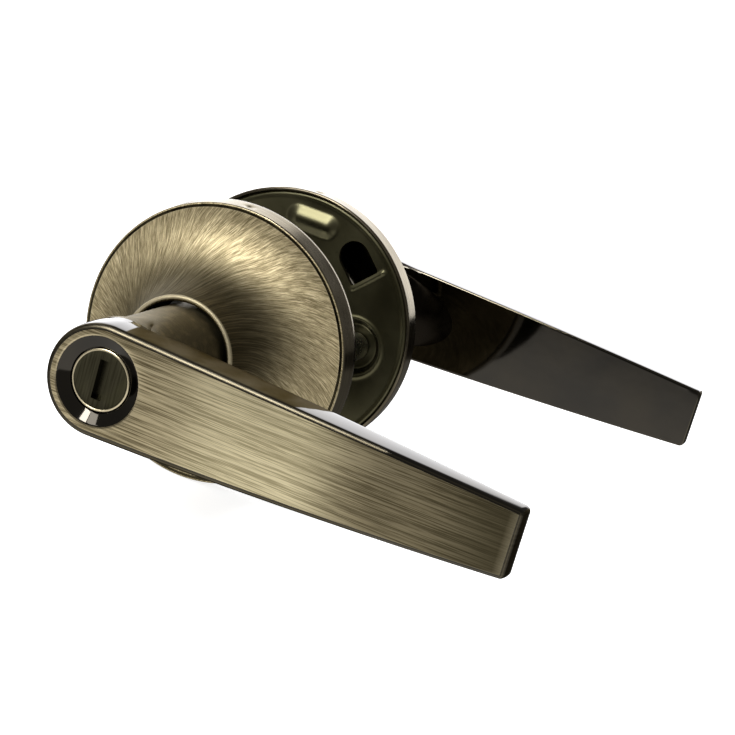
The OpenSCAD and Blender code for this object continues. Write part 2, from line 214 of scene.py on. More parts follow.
def circle(r, h, n):
    """n points (x, z, h) round the spindle axis."""
    a = np.arange(n) * 2 * math.pi / n
    return np.stack([r * np.cos(a), r * np.sin(a), np.full(n, float(h))], axis=-1)


def arc(cr, ch, r, start, end, steps):
    """Points (r, h) on an arc of a round piece's profile, angles in degrees."""
    angles = np.radians(np.linspace(start, end, steps + 1))
    return [(cr + r * math.cos(a), ch + r * math.sin(a)) for a in angles]


def prism(outline, h0, h1, side):
    """A closed solid of an outline of (x, z) points between two heights."""
    rings = [[(x, z, h) for x, z in outline] for h in (h0, h1)]
    return ring_mesh("cutter", rings, side, caps=(True, True))


def smooth(t):
    """A soft step from 0 to 1."""
    t = np.clip(t, 0.0, 1.0)
    return t * t * (3 - 2 * t)


# ---- materials ----


class Nodes:
    """Short calls that add shader nodes to a tree and link them."""

    def __init__(self, tree):
        self.tree = tree

    def add(self, kind, inputs=None, **settings):
        node = self.tree.nodes.new("ShaderNode" + kind)
        for key, value in settings.items():
            setattr(node, key, value)
        for key, value in (inputs or {}).items():
            self.put(node.inputs[key], value)
        return node

    def put(self, socket, value):
        if isinstance(value, bpy.types.NodeSocket):
            self.tree.links.new(value, socket)
        else:
            socket.default_value = value

    def scaled(self, vector, scale):
        node = self.add("Mapping", {"Vector": vector, "Scale": scale})
        return node.outputs["Vector"]

    def noise(self, vector, scale=1.0, detail=3.0, rough=0.5):
        node = self.add("TexNoise", {"Vector": vector, "Scale": scale, "Detail": detail,
                                     "Roughness": rough})
        return node.outputs["Fac"]

    def math(self, operation, a, b=0.0, clamp=False):
        node = self.add("Math", operation=operation, use_clamp=clamp)
        self.put(node.inputs[0], a)
        self.put(node.inputs[1], b)
        return node.outputs[0]

    def remap(self, value, low, high, to_low=0.0, to_high=1.0, smooth_step=False):
        node = self.add("MapRange", {"Value": value, "From Min": low, "From Max": high,
                                     "To Min": to_low, "To Max": to_high})
        if smooth_step:
            node.interpolation_type = "SMOOTHSTEP"
        return node.outputs["Result"]

    def mix(self, factor, a, b):
        node = self.add("Mix", data_type="RGBA")
        self.put(node.inputs[0], factor)
        for socket, value in ((node.inputs[6], a), (node.inputs[7], b)):
            self.put(socket, value if isinstance(value, bpy.types.NodeSocket) else (*value, 1.0))
        return node.outputs[2]


class Material(Nodes):
    """A new material, with the inputs that its colour and finish depend on."""

    def __init__(self, name):
        self.material = bpy.data.materials.new(name)
        self.material.use_nodes = True
        super().__init__(self.material.node_tree)
        self.shader = self.tree.nodes["Principled BSDF"]

    def position(self):
        return self.add("TexCoord").outputs["Object"]

    def uv(self):
        return self.add("UVMap", uv_map="brush").outputs["UV"]

    # the wear attribute marks rubbed edges and painted highlight lines along edges
    def wear_and_highlight(self):
        return self.add("Attribute", attribute_name="wear_and_highlight").outputs["Fac"]

    # the satin attribute marks brown satin patches and a painted brown reflection of the rose
    def satin_and_reflection(self):
        return self.add("Attribute", attribute_name="satin_and_reflection").outputs["Fac"]

    def bump(self, height, strength, distance):
        node = self.add("Bump", {"Height": height, "Strength": strength, "Distance": distance})
        self.put(self.shader.inputs["Normal"], node.outputs["Normal"])

    def finish(self, color, roughness, anisotropic=0.0):
        """Sets the metal's colour and roughness, with the brush lines' direction if it is brushed."""
        self.put(self.shader.inputs["Base Color"], color)
        self.put(self.shader.inputs["Roughness"], roughness)
        self.shader.inputs["Metallic"].default_value = 1.0
        if anisotropic:
            self.shader.inputs["Anisotropic"].default_value = anisotropic
            tangent = self.add("Tangent", direction_type="UV_MAP", uv_map="brush")
            self.put(self.shader.inputs["Tangent"], tangent.outputs["Tangent"])
        return self.material


BRASS = (0.56, 0.47, 0.28)
BRASS_PALE = (0.80, 0.70, 0.47)
BRASS_DULL = (0.27, 0.22, 0.125)
# patina brown, also painted on as shade towards the lever's tip and round the rose's collar
PATINA_AND_SHADE = (0.05, 0.042, 0.022)
LACQUER = (0.046, 0.043, 0.038)


def brushed_lever():
    """Straight brush lines along the outer face, with a painted highlight at its middle and painted shade
    towards the tip.
    """
    m = Material("antique_brass_brushed")
    where = m.position()
    fine = m.noise(m.scaled(where, (60, 60, 4700)), detail=3, rough=0.7)
    broad = m.noise(m.scaled(where, (45, 45, 2100)), detail=2, rough=0.6)
    cloud = m.noise(where, scale=55, detail=2)
    x = m.add("SeparateXYZ", {"Vector": where}).outputs["X"]
    lines = m.math("ADD", m.math("MULTIPLY", fine, 0.66), m.math("MULTIPLY", broad, 0.34))
    tone = m.remap(lines, 0.44, 0.555)
    # painted highlight: the face is palest about 34 to 46 mm along the lever, fading out by 10 and 64 mm
    painted_highlight = m.math("MULTIPLY", m.remap(x, 0.010, 0.034, smooth_step=True),
                  m.remap(x, 0.064, 0.046, smooth_step=True))
    groove = m.mix(painted_highlight, (0.19, 0.155, 0.085), (0.50, 0.43, 0.25))
    ridge = m.mix(painted_highlight, (0.64, 0.54, 0.33), (0.97, 0.86, 0.55))
    color = m.mix(tone, groove, ridge)
    color = m.mix(m.remap(broad, 0.52, 0.74, 0.0, 0.35), color, BRASS_PALE)
    color = m.mix(m.remap(cloud, 0.35, 0.75, 0.0, 0.15), color, BRASS_DULL)
    # painted shade: from 45 mm along the lever the face darkens towards patina colour at the tip
    tip_shade = m.math("ADD", m.remap(x, 0.045, 0.070, 0.0, 0.62, smooth_step=True),
                    m.remap(x, 0.070, 0.095, 0.0, 0.30, smooth_step=True))
    color = m.mix(tip_shade, color, PATINA_AND_SHADE)
    color = m.mix(m.remap(m.wear_and_highlight(), 0.2, 1.0, 0.0, 0.55), color, BRASS_PALE)
    roughness = m.remap(lines, 0.3, 0.7, 0.39, 0.34)
    m.bump(fine, 0.25, 0.00006)
    return m.finish(color, roughness, anisotropic=1.0)


def polished():
    """Nearly black polished lacquer, brown where the satin attribute marks brown satin and a painted
    reflection of the rose.
    """
    m = Material("bronze_polished")
    where = m.position()
    cloud = m.noise(where, scale=70, detail=3)
    specks = m.noise(where, scale=2600, detail=2)
    streaks = m.noise(m.scaled(where, (120, 120, 2600)), detail=3)
    satin_and_reflection = m.remap(m.satin_and_reflection(), 0.42, 0.58, smooth_step=True)
    color = m.mix(m.remap(cloud, 0.3, 0.7), LACQUER, (0.060, 0.054, 0.044))
    brown = m.mix(m.remap(streaks, 0.35, 0.65), (0.048, 0.042, 0.030), (0.080, 0.071, 0.052))
    color = m.mix(satin_and_reflection, color, brown)
    color = m.mix(m.remap(m.wear_and_highlight(), 0.25, 1.0, 0.0, 0.8), color, BRASS)
    roughness = m.math("ADD", m.remap(cloud, 0.3, 0.7, 0.04, 0.07),
                       m.remap(specks, 0.62, 0.8, 0.0, 0.05))
    roughness = m.math("ADD", roughness, m.math("MULTIPLY", satin_and_reflection, 0.27))
    m.put(m.shader.inputs["Specular Tint"], m.mix(satin_and_reflection, (1.0, 1.0, 1.0), (0.42, 0.405, 0.385)))
    m.bump(cloud, 0.05, 0.0004)
    return m.finish(color, roughness)


def satin_neck():
    """Dark bronze with brush lines round the neck and a few paler streaks."""
    m = Material("bronze_satin_neck")
    uv = m.uv()
    rings = m.noise(m.scaled(uv, (700, 6, 1)), detail=4, rough=0.65)
    streaks = m.noise(m.scaled(uv, (14, 26, 1)), detail=3)
    color = m.mix(m.remap(rings, 0.35, 0.65), (0.075, 0.062, 0.034), (0.18, 0.15, 0.088))
    color = m.mix(m.remap(streaks, 0.5, 0.72, 0.0, 0.55), color, BRASS_DULL)
    color = m.mix(m.remap(m.wear_and_highlight(), 0.2, 1.0, 0.0, 0.6), color, BRASS)
    m.bump(rings, 0.15, 0.00005)
    return m.finish(color, m.remap(rings, 0.3, 0.7, 0.46, 0.36), anisotropic=0.55)


def satin_rose():
    """Short scratches that fan out over the dome and swirl round the collar."""
    m = Material("antique_brass_rose")
    where = m.position()
    parts = m.add("SeparateXYZ", {"Vector": where})
    x, z = parts.outputs["X"], parts.outputs["Z"]
    radius = m.math("POWER", m.math("ADD", m.math("MULTIPLY", x, x), m.math("MULTIPLY", z, z)), 0.5)
    angle = m.math("ARCTAN2", z, x)
    drift = m.noise(where, scale=30, detail=1)
    curl = m.noise(where, scale=260, detail=2)
    # the scratches lean more and more round the axis towards the collar
    lean = m.math("MULTIPLY", m.math("LOGARITHM", m.math("DIVIDE", radius, 0.0335), math.e), 0.75)
    twist = m.math("ADD", lean, m.math("MULTIPLY", drift, 0.55))
    twist = m.math("ADD", twist, m.math("MULTIPLY", curl, 0.022))
    turned = m.math("ADD", angle, twist)
    around = m.add("CombineXYZ", {"X": m.math("COSINE", turned), "Y": m.math("SINE", turned),
                                  "Z": m.math("MULTIPLY", radius, 5.0)}).outputs["Vector"]
    fine = m.noise(m.scaled(around, (105, 105, 80)), detail=4, rough=0.7)
    broad = m.noise(m.scaled(around, (34, 34, 40)), detail=3, rough=0.6)
    lines = m.math("ADD", m.math("MULTIPLY", fine, 0.75), m.math("MULTIPLY", broad, 0.25))
    color = m.mix(m.remap(lines, 0.40, 0.59), (0.20, 0.162, 0.088), BRASS)
    color = m.mix(m.remap(fine, 0.53, 0.68, 0.0, 0.7), color, BRASS_PALE)
    # patina and painted shade: the dome darkens next to the collar, fading out 25 mm from the axis
    valley = m.remap(radius, 0.0150, 0.0250, 0.90, 0.0, smooth_step=True)
    valley = m.math("MULTIPLY", valley, m.remap(broad, 0.3, 0.7, 1.1, 0.7), clamp=True)
    color = m.mix(valley, color, PATINA_AND_SHADE)
    color = m.mix(m.remap(m.wear_and_highlight(), 0.2, 1.0, 0.0, 0.7), color, BRASS_PALE)
    m.bump(lines, 0.5, 0.00012)
    return m.finish(color, m.remap(lines, 0.3, 0.7, 0.60, 0.50), anisotropic=0.3)


def rose_rim():
    """Straight side of the rose and its inside, brown and half polished."""
    m = Material("bronze_rim")
    where = m.position()
    cloud = m.noise(where, scale=160, detail=3)
    lines = m.noise(m.scaled(where, (90, 4200, 90)), detail=3)
    color = m.mix(m.remap(lines, 0.35, 0.65), (0.10, 0.085, 0.058), (0.19, 0.165, 0.115))
    color = m.mix(m.remap(m.wear_and_highlight(), 0.2, 1.0, 0.0, 0.8), color, BRASS_PALE)
    m.shader.inputs["Specular Tint"].default_value = (0.80, 0.78, 0.74, 1.0)
    m.bump(lines, 0.08, 0.00004)
    return m.finish(color, m.remap(cloud, 0.3, 0.7, 0.16, 0.24))


def rim_line(name, low, high):
    """Nearly black bronze: the dark line at the edge of the rose's face, and painted shade in the inside
    lever's web.
    """
    m = Material(name)
    where = m.position()
    cloud = m.noise(where, scale=300, detail=2)
    color = m.mix(cloud, low, high)
    m.bump(cloud, 0.1, 0.00005)
    return m.finish(color, m.remap(cloud, 0.3, 0.7, 0.2, 0.35))


def stamped_plate():
    """Stamped steel in dark olive bronze, slightly uneven, with bright raised edges."""
    m = Material("plate_olive_bronze")
    where = m.position()
    skin = m.noise(where, scale=420, detail=4, rough=0.6)
    cloud = m.noise(where, scale=60, detail=3)
    color = m.mix(m.remap(cloud, 0.3, 0.7), (0.092, 0.085, 0.046), (0.155, 0.145, 0.084))
    color = m.mix(m.remap(skin, 0.6, 0.8, 0.0, 0.35), color, (0.03, 0.027, 0.013))
    color = m.mix(m.remap(m.wear_and_highlight(), 0.2, 1.0, 0.0, 0.8), color, (0.42, 0.40, 0.28))
    m.bump(skin, 0.12, 0.0001)
    return m.finish(color, m.remap(cloud, 0.3, 0.7, 0.31, 0.39))


def turned_steel(name, low, high, rough):
    """Plated steel with fine turning lines."""
    m = Material(name)
    where = m.position()
    lines = m.noise(m.scaled(where, (260, 3200, 260)), detail=3, rough=0.6)
    cloud = m.noise(where, scale=180, detail=3)
    color = m.mix(m.remap(lines, 0.35, 0.65), low, high)
    color = m.mix(m.remap(cloud, 0.5, 0.8, 0.0, 0.4), color, low)
    m.bump(lines, 0.12, 0.00004)
    return m.finish(color, m.remap(cloud, 0.3, 0.7, rough, rough + 0.12))


def plug_face():
    """Dark satin disc with faint upright brush lines, bright on its rim: rubbed brass and a painted
    highlight ring.
    """
    m = Material("plug_satin")
    where = m.position()
    lines = m.noise(m.scaled(where, (2600, 60, 90)), detail=4, rough=0.6)
    cloud = m.noise(where, scale=160, detail=2)
    color = m.mix(m.remap(lines, 0.35, 0.65), (0.032, 0.029, 0.017), (0.062, 0.057, 0.035))
    color = m.mix(m.remap(cloud, 0.5, 0.8, 0.0, 0.4), color, (0.085, 0.080, 0.035))
    color = m.mix(m.remap(m.wear_and_highlight(), 0.2, 1.0, 0.0, 0.95), color, BRASS_PALE)
    m.bump(lines, 0.15, 0.00005)
    return m.finish(color, m.remap(lines, 0.3, 0.7, 0.36, 0.28))


MATERIALS = {
    "brushed": brushed_lever(),
    "polished": polished(),
    "neck": satin_neck(),
    "rose": satin_rose(),
    "line": rim_line("bronze_edge_line", (0.02, 0.017, 0.01), (0.07, 0.058, 0.03)),
    "shade": rim_line("bronze_web_shade", (0.006, 0.005, 0.004), (0.016, 0.013, 0.009)),
    "rim": rose_rim(),
    "plate": stamped_plate(),
    "plug": plug_face(),
    "zinc": turned_steel("zinc_plated_steel", (0.34, 0.34, 0.33), (0.62, 0.62, 0.60), 0.24),
    "spring": turned_steel("spring_steel", (0.12, 0.12, 0.13), (0.30, 0.30, 0.31), 0.28),
    "black": turned_steel("black_oxide", (0.02, 0.02, 0.02), (0.06, 0.06, 0.06), 0.38),
    "screw": turned_steel("screw_brass_plated", (0.20, 0.16, 0.08), (0.45, 0.37, 0.20), 0.26),
    "bronze": turned_steel("sintered_bronze", (0.22, 0.14, 0.07), (0.45, 0.30, 0.16), 0.42),
}


# ---- levers ----

N_TIP = 6
N_CORNER = 8
N_EDGE = 46
N_HUB = 84
CORNER_R = 1.3
TAPER = 1.9                # degrees at which the blade's edges leave the hub
CROWN = 0.18               # fall of the outer face from its middle to its edge, at the hub
FILLET_HUB = 1.35          # rounding of the face's edge at the hub
FILLET_LOSS = 0.4          # how much smaller that rounding is at the tip
FILLET_TURN = math.radians(83)
BULGE = 0.2                # how far the sides swell outwards
BULGE_AT = 0.75            # where they swell most, from 0 at the face to 1 at the back
BACK_ROUND = 0.5
SEAT_GAP = 0.3             # clearance round the plug's disc
SEAT_EDGE = 0.12
HUB_SIDE = 7.0             # height of the hub's side, measured from the outer face
WEB_HALF_X = 27.0          # half axes of the oval where the web meets the blade's back
WEB_HALF_Z = 10.9
WEB_LOW = REACH - 18.5     # height at which the web has become the round neck
GROOVE_R = 7.25            # groove for the retaining ring
OUTSIDE_SOCKET_END = 18.0  # heights of the bottoms of the spindle's sockets
INSIDE_SOCKET_END = 36.0

LEVER_MATERIALS = ("brushed", "polished", "neck", "shade")
FACE, POLISH, NECK, SHADE = range(4)


def blade_half(x):
    """Half height of the blade at x, leaving the hub's circle smoothly."""
    a = math.radians(TAPER)
    x0, z0, slope = HUB_R * math.sin(a), HUB_R * math.cos(a), -math.tan(a)
    bend = (TIP_HALF - z0 - slope * (TIP_X - x0)) / (TIP_X - x0) ** 2
    return z0 + slope * (x - x0) + bend * (x - x0) ** 2


def lever_outline():
    """Outline of the lever from the middle of its tip, anticlockwise, with outward normals."""
    x0 = HUB_R * math.sin(math.radians(TAPER))
    slope_end = math.atan2(blade_half(TIP_X) - blade_half(TIP_X - 2), 2)
    # the corner's arc turns from the tip's flat end to the direction of the edge
    cx = TIP_X - CORNER_R
    cz = blade_half(cx) - CORNER_R / math.cos(slope_end)
    upper = [(TIP_X, cz * k / N_TIP, 1.0, 0.0) for k in range(N_TIP)]
    end = math.pi / 2 - slope_end
    for k in range(N_CORNER):
        a = end * k / N_CORNER
        upper.append((cx + CORNER_R * math.cos(a), cz + CORNER_R * math.sin(a), math.cos(a), math.sin(a)))
    start_x = cx + CORNER_R * math.cos(end)
    for k in range(N_EDGE):
        x = start_x + (x0 - start_x) * k / N_EDGE
        slope = (blade_half(x + 0.01) - blade_half(x - 0.01)) / 0.02
        n = math.hypot(slope, 1)
        upper.append((x, blade_half(x), -slope / n, 1 / n))
    hub = []
    for a in np.radians(hub_degrees()):
        hub.append((HUB_R * math.cos(a), HUB_R * math.sin(a), math.cos(a), math.sin(a)))
    lower = [(x, -z, nx, -nz) for x, z, nx, nz in reversed(upper[1:])]
    points = np.array(upper + hub + lower)
    return points[:, :2], points[:, 2:]


def hub_degrees():
    """Angles of the outline's points on the hub's circle."""
    first = 90 - TAPER
    return [first + (360 - 2 * first) * k / N_HUB for k in range(N_HUB + 1)]


def ring_angles():
    """For each outline point, the angle of its partner on the round parts of the lever."""
    n_upper = N_TIP + N_CORNER + N_EDGE
    upper = [(90 - TAPER) * k / n_upper for k in range(n_upper)]
    lower = [360 - a for a in reversed(upper[1:])]
    return np.radians(upper + hub_degrees() + lower)


def outer_height(xz):
    """Height of the outer face: a long bow along the lever, with a slight crown across it."""
    crown = CROWN * (xz[:, 1] / HUB_R) ** 2
    return BOW_TOP - (np.clip(xz[:, 0], 0, None) - BOW_X) ** 2 / (2 * BOW_R) - crown


def inner_height(xz):
    """Height of the blade's back, which follows the bow and comes nearer to it at the tip."""
    x = np.clip(xz[:, 0], 0, None)
    return BOW_TOP - (x - BOW_X) ** 2 / (2 * BOW_R) - ROOT_T + (ROOT_T - TIP_T) * (x / TIP_X) ** 2


class LeverSkin:
    """The rings that a lever's surface is made of, each with its zone, wear and painted highlights, and
    brown satin and painted reflection.
    """

    def __init__(self, side):
        self.side = side
        self.outline, self.normal = lever_outline()
        angle = ring_angles()
        self.unit = np.stack([np.cos(angle), np.sin(angle)], axis=-1)
        self.n = len(self.outline)
        x = self.outline[:, 0]
        # 0 at the hub and 1 along the blade, for blend
        self.on_blade = smooth((x - 0.5) / 14.0)
        self.fillet = FILLET_HUB - FILLET_LOSS * smooth(x / TIP_X)
        # how far inside the outline the outer face ends
        self.edge = BULGE + self.fillet * math.sin(FILLET_TURN)
        # 1 on the flat end of the tip
        self.tip_end = smooth((self.normal[:, 0] - 0.5) / 0.3) * (x > TIP_X / 2)
        self.rings, self.zones, self.wear_and_highlight, self.satin_and_reflection = [], [], [], []

    def add(self, xz, h, zone, worn_and_highlit=0.0, brown=0.0):
        """One more ring, with the zone of the band that leads to it."""
        self.rings.append(np.column_stack([xz, np.broadcast_to(h, self.n)]))
        self.zones.append(zone)
        self.wear_and_highlight.append(worn_and_highlit)
        self.satin_and_reflection.append(np.broadcast_to(brown, self.n))

    def inset(self, distance):
        """The outline moved inwards."""
        return self.outline - self.normal * np.reshape(distance, (-1, 1))

    def blend(self, at_hub, at_blade):
        """A value that is at_hub on the hub and goes over to at_blade along the blade."""
        return (1 - self.on_blade) * at_hub + self.on_blade * at_blade

    def rose_reflection(self, xz, end):
        """Where the sides carry a painted brown reflection of the rose: on the outside lever only, from the
        hub as far as end.
        """
        x = xz[:, 0]
        return (self.side == OUTSIDE) * smooth((x - 1.0) / 4.0) * smooth((end - x) / 5.0)


def add_recess(skin):
    """Wall of the plug's seat, and the cone that opens from it to the outer face."""
    seat_r = PLUG_R + SEAT_GAP
    cone_r, cone_h = seat_r + SEAT_EDGE, REACH - RECESS_DEPTH
    skin.add(skin.unit * seat_r, PLUG_FACE - HEAD_T, POLISH)
    skin.add(skin.unit * seat_r, cone_h - SEAT_EDGE, POLISH)
    skin.add(skin.unit * cone_r, cone_h, POLISH, 0.3)
    for t in np.linspace(0.04, 0.94, 7):
        xz = skin.unit * (cone_r + (RECESS_R - cone_r) * t)
        skin.add(xz, cone_h * (1 - t) + outer_height(xz) * t, POLISH)


def add_face(skin):
    """The pale edge round the recess, rubbed brass with a painted highlight line, and the brushed face out
    to its own edge.
    """
    edge_r = RECESS_R + 0.2
    for r, drop, worn_and_highlit in ((RECESS_R - 0.06, 0.09, 0.8), (RECESS_R + 0.06, 0.02, 1.0), (edge_r, 0.0, 0.35)):
        xz = skin.unit * r
        skin.add(xz, outer_height(xz) - drop, FACE, worn_and_highlit)
    start, end = skin.unit * edge_r, skin.inset(skin.edge)
    steps = 26
    for k in range(1, steps + 1):
        t = k / steps
        xz = start * (1 - t) + end * t
        skin.add(xz, outer_height(xz), FACE, 0.45 if k == steps else 0.0)


def add_sides(skin):
    """The rounding of the face's edge, the swelling sides, and the rounding at the back."""
    edge_h = outer_height(skin.inset(skin.edge))
    # the rounding carries a pale line: rubbed brass and a painted highlight
    for k, worn_and_highlit in enumerate((0.1, 0.3, 0.38, 0.15, 0.0, 0.0, 0.0, 0.0), 1):
        b = FILLET_TURN * k / 8
        xz = skin.inset(skin.edge - skin.fillet * math.sin(b))
        # on the outside lever the sides also get a painted brown reflection of the rose
        brown = np.maximum(smooth((78.0 - xz[:, 0]) / 26.0) * (k < 7), skin.rose_reflection(xz, 46.0))
        skin.add(xz, edge_h - skin.fillet * (1 - math.cos(b)), POLISH, worn_and_highlit,
                 np.maximum(brown, skin.tip_end))
    top = edge_h - skin.fillet * (1 - math.cos(FILLET_TURN))
    low = skin.blend(REACH - HUB_SIDE, inner_height(skin.outline) + BACK_ROUND)
    for k in range(1, 9):
        t = k / 8
        xz = skin.inset(BULGE * (1 - t / BULGE_AT) ** 2)
        skin.add(xz, top * (1 - t) + low * t, POLISH,
                 brown=np.maximum(skin.rose_reflection(xz, 46.0 + 6.0 * t), skin.tip_end))
    back_in = BULGE * (1 - 1 / BULGE_AT) ** 2
    # the middle of this rounding carries a painted highlight line
    for k in range(1, 6):
        b = math.radians(90 * k / 5)
        xz = skin.inset(back_in + skin.on_blade * BACK_ROUND * (1 - math.cos(b)))
        drop = skin.blend(0.25 * k / 5, BACK_ROUND * math.sin(b))
        skin.add(xz, low - drop, POLISH, 0.5 if k == 3 else 0.0, skin.rose_reflection(xz, 52.0))


def add_web(skin):
    """The blade's back, and the web that sweeps from it and from the hub into the neck."""
    back_xz, back_h = skin.rings[-1][:, :2], skin.rings[-1][:, 2]
    follow = skin.on_blade[:, None]
    top_xz = back_xz * (1 - follow) + skin.unit * (WEB_HALF_X, WEB_HALF_Z) * follow
    hub_h = back_h - 1.5
    top_h = skin.blend(hub_h, inner_height(top_xz))
    for k in range(1, 25):
        t = k / 24
        xz = back_xz * (1 - t) + top_xz * t
        skin.add(xz, skin.blend(back_h * (1 - t) + hub_h * t, inner_height(xz)), POLISH)
    for k in range(1, 15):
        a = math.radians(90 * k / 14)
        down = 1 - math.cos(a)
        inward = skin.blend(smooth(down), math.sin(a))[:, None]
        xz = top_xz * (1 - inward) + skin.unit * NECK_R * inward
        # painted shade: on the inside lever the web is nearly black up to the neck
        if skin.side == INSIDE:
            zone = NECK if k > 9 else SHADE
        else:
            zone = NECK if k > 2 else POLISH
        skin.add(xz, top_h * (1 - down) + WEB_LOW * down, zone,
                 brown=smooth((16.0 - xz[:, 0]) / 6.0) * (k > 1))


def add_neck(skin):
    """The round neck, the shank with its groove, and the shank's end."""
    for h in np.linspace(WEB_LOW - 1.5, NECK_LOW + 0.4, 14):
        skin.add(skin.unit * NECK_R, h, NECK)
    skin.add(skin.unit * (NECK_R - 0.12), NECK_LOW + 0.12, NECK, 0.5)
    for r, h in ((NECK_R - 0.4, NECK_LOW), (SHANK_R, NECK_LOW), (SHANK_R, NECK_LOW - 0.1),
                 (SHANK_R, 6.0), (SHANK_R, 1.2), (SHANK_R, 0.95), (GROOVE_R, 0.9), (GROOVE_R, 0.15),
                 (SHANK_R, 0.1), (SHANK_R, SHANK_END + 0.35), (SHANK_R - 0.35, SHANK_END)):
        skin.add(skin.unit * r, h, NECK)


def add_socket(skin, end):
    """The square bore for the spindle, slightly wider at its mouth."""
    square = skin.unit * SOCKET_HALF / np.max(np.abs(skin.unit), axis=1)[:, None]
    for grow, h in ((0.25, SHANK_END), (0.0, SHANK_END + 0.25), (0.0, SHANK_END + 0.6), (0.0, end)):
        skin.add(square * (1 + grow / SOCKET_HALF), h, NECK)


def screw_hole(side, screw):
    """Cutter for the hole that the set screw goes in through, from below the neck."""
    low, high = span(screw)
    middle, r = (low + high) / 2, (high[0] - low[0]) / 2 + 0.12
    n = 48
    around = np.arange(n) * 2 * math.pi / n
    x, h = middle[0] + r * np.cos(around), side * middle[1] - DOOR + r * np.sin(around)
    rings = [np.column_stack([x, np.full(n, z), h]) for z in (-15.0, high[2])]
    cutter = ring_mesh("cutter", rings, side, caps=(True, True))
    cutter.data.materials.append(MATERIALS["neck"])
    return cutter


def lever(name, side, socket_end, body, node, screw):
    """The whole casting, as one surface from the plug's seat to the bottom of the socket."""
    skin = LeverSkin(side)
    add_recess(skin)
    add_face(skin)
    add_sides(skin)
    add_web(skin)
    add_neck(skin)
    add_socket(skin, socket_end)
    obj = ring_mesh(name, skin.rings, side, caps=(True, True), zones=skin.zones[1:],
                    materials=[MATERIALS[kind] for kind in LEVER_MATERIALS],
                    wear_and_highlight=skin.wear_and_highlight, satin_and_reflection=skin.satin_and_reflection, uv="around", flat=FACE)
    cut(obj, [screw_hole(side, screw)])
    sharpen(obj, 40)
    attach(obj, body)
    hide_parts(node)


# ---- roses ----

ROSE_EDGE = 0.45           # rounding between the rim and the face
ROSE_DRAFT = 0.35          # how much narrower the rim is at its top
LIP_R = 0.75
N_ROSE = 384
DIMPLE_ANGLES = (92, 212, 332)
DIMPLE_DEPTH = 0.45
DIMPLE_H = 3.5

DOME, RIM, LINE = range(3)


def rose_profile():
    """The cover's closed profile: a list of (r, h, zone, wear) from the rim's foot round and back, wear
    giving rubbed edges and painted highlight lines.
    """
    a, b = ROSE_R - ROSE_EDGE - COLLAR_R, COLLAR_H - LIP_R - RIM_H
    line_r = ROSE_R - ROSE_DRAFT - ROSE_EDGE
    inner_r = ROSE_R - WALL
    points = [(inner_r + 0.15, 0.0, RIM, 0.1), (ROSE_R - 0.2, 0.0, RIM, 0.15), (ROSE_R, 0.2, RIM, 0.15)]
    for k in range(1, 9):
        t = k / 8.5
        points.append((ROSE_R - ROSE_DRAFT * t, 0.2 + (RIM_H - ROSE_EDGE - 0.2) * t, RIM, 0.0))
    # the rounding from rim to face carries a pale line: rubbed brass and a painted highlight
    for k, (r, h) in enumerate(arc(line_r, RIM_H - ROSE_EDGE, ROSE_EDGE, 0, 90, 8)):
        points.append((r, h, RIM if k < 5 else DOME, 0.5 if 3 <= k <= 5 else 0.15))
    # the dark line is a shallow groove between the rim and the face
    points += [(line_r - 0.03, RIM_H - 0.05, LINE, 0.0), (line_r - 0.13, RIM_H - 0.05, LINE, 0.0)]
    for t in np.radians(np.linspace(0, 90, 61)):
        r = COLLAR_R + a - a * math.sin(t)
        if r < line_r - 0.2:
            points.append((r, RIM_H + b - b * math.cos(t), DOME, 0.4 if r > line_r - 0.8 else 0.0))
    # the lip's bright band is rubbed brass and a painted highlight
    for k, (r, h) in enumerate(arc(COLLAR_R - LIP_R, COLLAR_H - LIP_R, LIP_R, 12, 180, 12)):
        points.append((r, h, DOME if k < 9 else RIM, 0.75 if 1 <= k <= 6 else 0.2))
    # the inside follows the dome one wall away
    for t in np.radians(np.linspace(90, 0, 31)):
        r, h = COLLAR_R + a - (a + WALL) * math.sin(t), RIM_H + b - (b + WALL) * math.cos(t)
        points.append((r, h, RIM, 0.0))
    points += [(inner_r, RIM_H - WALL - 0.4, RIM, 0.0), (inner_r, 0.2, RIM, 0.2)]
    return points


def press_dimples(rings):
    """Presses the snap dimples into the outer wall of the rim."""
    theta = np.degrees(np.arctan2(rings[..., 1], rings[..., 0])) % 360
    radius = np.hypot(rings[..., 0], rings[..., 1])
    for centre in DIMPLE_ANGLES:
        away = np.radians(theta - centre) * ROSE_R
        deep = DIMPLE_DEPTH * np.exp(-away ** 2 - ((rings[..., 2] - DIMPLE_H) / 0.9) ** 2)
        deep = deep * (radius > ROSE_R - WALL - 0.05)
        factor = (radius - deep) / radius
        rings[..., 0] *= factor
        rings[..., 1] *= factor


def rose(name, side, node):
    """Drawn cover: rolled lip, trumpet dome, thin dark line, polished rim with snap dimples."""
    profile = rose_profile()
    rings = np.array([circle(r, h, N_ROSE) for r, h, _, _ in profile])
    press_dimples(rings)
    obj = ring_mesh(name, rings, side, closed=True, zones=[zone for _, _, zone, _ in profile],
                    wear_and_highlight=[worn_and_highlit for _, _, _, worn_and_highlit in profile], uv="along",
                    materials=[MATERIALS["rose"], MATERIALS["rim"], MATERIALS["line"]])
    sharpen(obj, 50)
    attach(obj, "trim")
    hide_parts(node)


# ---- mounting plates ----

